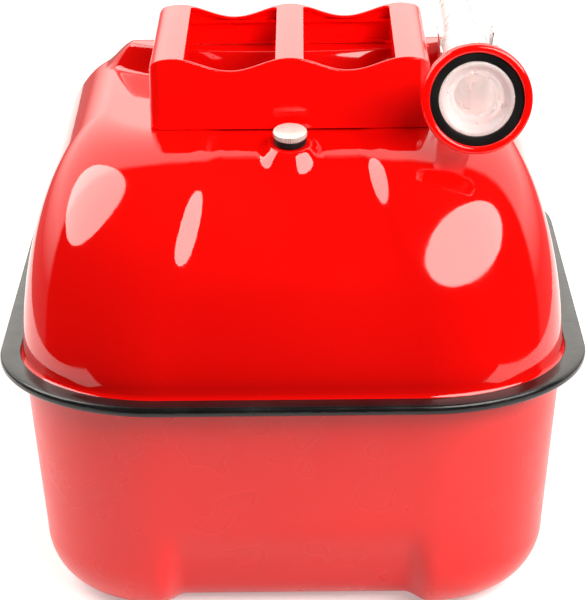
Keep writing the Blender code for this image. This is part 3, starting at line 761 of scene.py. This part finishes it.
def make_filler():
    place = neck_place()
    collar = rounded([(NECK_ROOT + 0.0004, GAP), (0.0290, GAP), (0.0284, 0.0020), (0.0262, 0.0024),
                      (NECK_ROOT + 0.0004, 0.0024)], 0.0005)
    piece = new_object("neck_weld_collar", lathe(collar, 96), FITTING_RED, place)
    stand_for(piece, "can", "red_paint", "neck_collar")
    core = NECK_OUTER - 0.0009
    neck = [(NECK_BORE, NECK_TOP), (NECK_BORE, -0.0060), (NECK_ROOT, -0.0060), (NECK_ROOT, 0.0030),
            (core, 0.0052), (core, 0.0085)]
    for turn in range(3):
        low = 0.0085 + 0.0035 * turn
        neck += [(NECK_OUTER, low + 0.0008), (NECK_OUTER, low + 0.0020), (core, low + 0.0028)]
    neck += [(core, NECK_TOP - 0.0004), (NECK_OUTER - 0.0013, NECK_TOP)]
    piece = new_object("filler_neck_turned", lathe(rounded(neck, 0.0004), 96), FITTING_RED, place)
    stand_for(piece, "can", "red_paint", "filler_neck")
    seal = rounded([(NECK_BORE, 0.0203), (NECK_BORE, 0.0228), (NECK_OUTER, 0.0228),
                    (NECK_OUTER, 0.0203)], 0.0006)
    piece = new_object("cap_seal_ring", lathe(seal, 96), SEAL_RUBBER, place)
    stand_for(piece, "cap_seal", "black_gasket", "cap_gasket")
    skirt = CAP_OUTER - 0.0034
    cap = [(0, 0.0280), (0.0150, 0.0278), (0.0195, 0.0272), (0.0205, 0.0262), (0.0250, 0.0262),
           (CAP_OUTER - 0.0006, 0.0250), (CAP_OUTER, 0.0236), (CAP_OUTER, 0.0160),
           (CAP_OUTER, 0.0076), (CAP_OUTER - 0.0008, 0.0068), (skirt, 0.0068),
           (skirt, 0.0231), (0, 0.0231)]

    def flutes(radius, height, angle):
        if radius < 0.0235:
            return radius
        wave = 0.5 + 0.5 * math.cos(12 * angle)
        return radius - 0.0013 * smooth(0.72, 1.0, wave) * smooth(0.0235, CAP_OUTER, radius)

    turned = lathe(rounded(cap, 0.0006), 288, flutes)
    piece = new_object("filler_cap_fluted", turned, FITTING_RED, place)
    stand_for(piece, "cap", "red_paint", "filler_cap")


# Spout and clips.

def elbow_point(angle):
    """A point of the tube's bend and its direction there; angle is how steeply it still falls."""
    bend_from = NUT_FRONT + (BASE_LENGTH + GAP) * math.cos(BASE_LIFT)
    y = bend_from + ELBOW_RADIUS * (math.sin(BASE_LIFT) - math.sin(angle))
    z = SPOUT_Z + ELBOW_RADIUS * (1 - math.cos(angle))
    return Vector((SPOUT_X, y, z)), Vector((0, math.cos(angle), -math.sin(angle)))


def spout_place():
    start, along = elbow_point(BASE_LIFT)
    return frame_at(start - along * (BASE_LENGTH + GAP), along)


def tube_ring(centre, along, radius, steps=72):
    across = Vector((1, 0, 0))
    up = along.cross(across)
    turns = [math.tau * k / steps for k in range(steps)]
    return [centre + radius * (math.cos(a) * across + math.sin(a) * up) for a in turns]


def make_spout():
    place = spout_place()
    bore = TUBE_RADIUS - TUBE_WALL
    base = rounded([(0.0134, 0.0060), (0.0165, 0.0026), (0.0183, 0.0026), (0.0183, 0.0054),
                    (0.0232, 0.0054), (0.0232, 0.0076), (0.0152, 0.0092), (0.0149, 0.0122),
                    (TUBE_RADIUS, 0.0150), (TUBE_RADIUS, BASE_LENGTH), (bore, BASE_LENGTH),
                    (bore, 0.0150), (0.0128, 0.0122)], 0.0006, keep=(9, 10))
    piece = new_object("spout_flanged_base", lathe(base, 96), PLASTIC, place)
    stand_for(piece, "spout", "white_plastic", "spout_base")
    straight = Vector((0, 1, 0))
    bend = [elbow_point(BASE_LIFT * (12 - k) / 12) for k in range(13)]
    rings = [(centre, along, TUBE_RADIUS) for centre, along in bend]
    inner = [(centre, along, bore) for centre, along in bend]
    shoulder = [(TUBE_SHOULDER - 0.0040, TUBE_RADIUS)]
    for k in range(1, 7):
        angle = math.radians(90 * k / 6)
        drop = TUBE_RADIUS - TIP_RADIUS
        shoulder.append((TUBE_SHOULDER - 0.0020 + 0.00195 * math.sin(angle),
                         TUBE_RADIUS - drop * (1 - math.cos(angle)) * 0.97))
    shoulder += [(TUBE_SHOULDER + 0.0010, TIP_RADIUS), (TUBE_SHOULDER + 0.02, TIP_RADIUS - 0.0002),
                 (TIP_END - 0.0006, TIP_RADIUS - 0.0010), (TIP_END - INSET, TIP_RADIUS - 0.0015)]
    for y, radius in shoulder:
        rings.append((Vector((SPOUT_X, y, SPOUT_Z)), straight, radius))
    for y, radius in ((TUBE_SHOULDER - 0.0060, bore), (TUBE_SHOULDER, TIP_RADIUS - 0.0015),
                      (TIP_END - INSET, TIP_RADIUS - 0.0024)):
        inner.append((Vector((SPOUT_X, y, SPOUT_Z)), straight, radius))
    loops = [tube_ring(*ring) for ring in rings + inner[::-1]]
    piece = new_object("spout_stepped_tube", loft(loops, closed_ring=True), PLASTIC)
    stand_for(piece, "spout", "white_plastic", "spout_tube")
    seal = rounded([(0.0186, 0.0025), (0.0186, 0.0051), (0.0232, 0.0051), (0.0232, 0.0025)],
                   0.0004)
    piece = new_object("spout_seal_ring", lathe(seal, 96), SEAL_RUBBER, place)
    stand_for(piece, "spout", "black_gasket", "spout_gasket")
    back = NUT_LENGTH
    nut = rounded([(NUT_BORE, 0.0019), (NUT_BORE - 0.0006, 0.0014), (NUT_BORE, 0.0004),
                   (NUT_BORE + 0.0010, INSET),
                   (NUT_OUTER - 0.0011, 0.0003), (NUT_OUTER - 0.0003, 0.0011), (NUT_OUTER, 0.0026),
                   (NUT_OUTER - 0.0004, back - 0.0045), (NUT_OUTER - 0.0018, back - 0.0016),
                   (NUT_OUTER - 0.0050, back), (0.0156, back), (0.0156, back - 0.0016),
                   (NUT_BORE, back - 0.0016)], 0.0006)
    piece = new_object("spout_ring_nut_turned", lathe(nut, 128), FITTING_RED, place)
    stand_for(piece, "spout_nut", "red_paint", "spout_ring_nut")


def strip(path, thick):
    """The outline of a bent strip along a centre line in a plane."""
    left, right = [], []
    for k, point in enumerate(path):
        before = path[max(k - 1, 0)]
        after = path[min(k + 1, len(path) - 1)]
        one = (point - before).normalized() if k else (after - point).normalized()
        two = (after - point).normalized() if k < len(path) - 1 else one
        normal = Vector((-(one + two).y, (one + two).x)).normalized()
        reach = thick / 2 / max(normal.dot(Vector((-one.y, one.x))), 0.5)
        left.append(point + normal * reach)
        right.append(point - normal * reach)
    return left + right[::-1]


def eased(path, radius=0.0016, parts=4):
    """The path with its inner corners rounded."""
    made = [path[0]]
    for before, point, after in zip(path, path[1:], path[2:]):
        reach = min(radius, (before - point).length * 0.4, (after - point).length * 0.4)
        a = point + (before - point).normalized() * reach
        b = point + (after - point).normalized() * reach
        for n in range(parts + 1):
            t = n / parts
            made.append(a * (1 - t) ** 2 + point * 2 * t * (1 - t) + b * t * t)
    return made + [path[-1]]


def make_clip(name, y):
    thin = 0.0012
    foot, crown = DECK_Z + GAP + thin / 2, DECK_Z + 0.0050 + thin / 2
    low_x, high_x = 0.080, 0.0935
    hat = [Vector(p) for p in ((-0.016, foot), (-0.0095, foot), (-0.0075, crown),
                               (0.0075, crown), (0.0095, foot), (0.016, foot))]
    shape = extrude_outline([(low_x, y + p.x, p.y) for p in strip(eased(hat, 0.0008), thin)],
                            (high_x - low_x, 0, 0))
    bracket = new_object(f"clip_saddle_{name}", shape, FITTING_RED)
    bevel(bracket, 0.0002)
    applied(bracket, 50)
    stand_for(bracket, "can", "red_paint", f"clip_bracket_{name}")
    spring = 0.0010
    base = crown + thin / 2 + GAP + spring / 2
    arm = TUBE_RADIUS + GAP + spring / 2 + 0.00005
    half = [Vector(p) for p in ((0.0075, base), (0.0095, base + 0.0009), (0.0118, base + 0.0050),
                                (arm, base + 0.0092), (arm, SPOUT_Z + 0.0060),
                                (arm + 0.0010, SPOUT_Z + 0.0110))]
    path = eased([Vector((-p.x, p.y)) for p in half[::-1]] + half, 0.0022)
    plan = [(SPOUT_X + p.x, y - CLIP_WIDTH / 2, p.y) for p in strip(path, spring)]
    shape = extrude_outline(plan, (0, CLIP_WIDTH, 0))
    clip = new_object(f"spring_clip_bent_{name}", shape, STEEL, sharp=45)
    bevel(clip, 0.00022)
    applied(clip, 45)
    stand_for(clip, "can", "spring_steel", f"spring_clip_{name}")


def carried_over():
    """CAD nodes whose shape is right get a finished material."""
    finishes = {"vent_bush": ZINC, "vent_circlip": STEEL, "clip_rivet_front": ZINC,
                "clip_rivet_rear": ZINC}
    for name, finish in finishes.items():
        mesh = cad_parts[name].data
        mesh.materials.clear()
        mesh.materials.append(finish)


# Studio.

def make_camera():
    pitch, roll, yaw = math.radians(20.622), math.radians(-0.685), math.radians(-0.352)
    forward = Vector((math.sin(yaw) * math.cos(pitch), math.cos(yaw) * math.cos(pitch),
                      -math.sin(pitch)))
    right = Vector((math.cos(yaw), -math.sin(yaw), 0))
    up = right.cross(forward)
    across = right * math.cos(roll) + up * math.sin(roll)
    above = -right * math.sin(roll) + up * math.cos(roll)
    place = Matrix((across, above, -forward)).transposed().to_4x4()
    place.translation = (0.008359, -1.381733, 0.633945)
    data = bpy.data.cameras.new("camera")
    data.sensor_fit = "HORIZONTAL"
    data.sensor_width = 36
    data.lens = 165.56
    data.clip_end = 50
    camera = bpy.data.objects.new("camera", data)
    bpy.context.scene.collection.objects.link(camera)
    camera.matrix_world = place
    bpy.context.scene.camera = camera


def soft_box(name, direction, width, height, energy):
    """An oval soft light in the given direction from the can, facing it."""
    data = bpy.data.lights.new(name, "AREA")
    data.shape = "ELLIPSE"
    data.size = width
    data.size_y = height
    data.energy = energy
    data.color = WARM_LIGHT
    light = bpy.data.objects.new(name, data)
    bpy.context.scene.collection.objects.link(light)
    aim = Vector(direction).normalized()
    turn = aim.to_track_quat("Z", "Y").to_matrix().to_4x4()
    light.matrix_world = Matrix.Translation(LIGHT_TARGET + aim * LIGHT_DISTANCE) @ turn


def make_world():
    """White for the camera; for light and gloss, a bright backdrop behind the can in a dim room."""
    world = bpy.data.worlds.new("studio")
    bpy.context.scene.world = world
    world.use_nodes = True
    tree = world.node_tree
    background = tree.nodes["Background"]
    parts = tree.nodes.new("ShaderNodeSeparateXYZ")
    direction = tree.nodes.new("ShaderNodeTexCoord").outputs["Generated"]
    tree.links.new(direction, parts.inputs["Vector"])
    behind = ranged(tree, parts.outputs["Y"], 0.28, 0.34, 0.0, 1.0)
    top_edge = ranged(tree, parts.outputs["Z"], 0.93, 0.96, 1.0, 0.0)
    horizon = ranged(tree, parts.outputs["Z"], -0.04, 0.22, 0.12, 1.0)
    backdrop = product_of(tree, product_of(tree, behind, top_edge), horizon)
    level = ranged(tree, backdrop, 0.0, 1.0, DIM_ROOM, BRIGHT_BACKDROP)
    camera_ray = tree.nodes.new("ShaderNodeLightPath").outputs["Is Camera Ray"]
    strength = tree.nodes.new("ShaderNodeMix")
    strength.inputs["B"].default_value = 1.0
    tree.links.new(camera_ray, strength.inputs["Factor"])
    tree.links.new(level, strength.inputs["A"])
    tree.links.new(strength.outputs["Result"], background.inputs["Strength"])
    tint = blend_colours(tree, camera_ray, WARM_BACKDROP, (1.0, 1.0, 1.0))
    tree.links.new(tint, background.inputs["Color"])


def make_floor():
    """A pale table top, which ends in front of the can, so its gloss shows the dim room there."""
    shape = bmesh.new()
    bmesh.ops.create_grid(shape, x_segments=8, y_segments=8, size=1.0)
    bmesh.ops.scale(shape, vec=(FLOOR_HALF_WIDTH, FLOOR_HALF_LENGTH, 1.0), verts=shape.verts[:])
    made, tree, shader, coords = surface("studio_floor", Roughness=0.9, Emission_Strength=0.35)
    tone = spread_of(tree, noise_of(tree, coords, 3.0, 2.0), 0.0, 1.0)
    tree.links.new(blend_colours(tree, tone, (0.60, 0.60, 0.595), (0.62, 0.62, 0.615)),
                   shader.inputs["Base Color"])
    shader.inputs["Emission Color"].default_value = (1, 1, 1, 1)
    floor = new_object("floor", shape, made)
    floor.location = (0.0, FLOOR_HALF_LENGTH + TABLE_EDGE, -FLOOR_DROP)


make_camera()
make_lower_body()
make_upper_body()
make_trim()
make_handle()
make_vent()
make_filler()
make_spout()
for clip_name, clip_y in CLIP_PLACES:
    make_clip(clip_name, clip_y)
carried_over()
make_floor()
make_world()
soft_box("soft_left", (-0.74, 0.12, 0.64), 1.30, 1.50, 41)
soft_box("soft_right", (0.61, -0.49, 0.63), 2.40, 1.15, 76)
bpy.context.scene.view_settings.view_transform = "Standard"
bpy.context.scene.view_settings.look = "None"
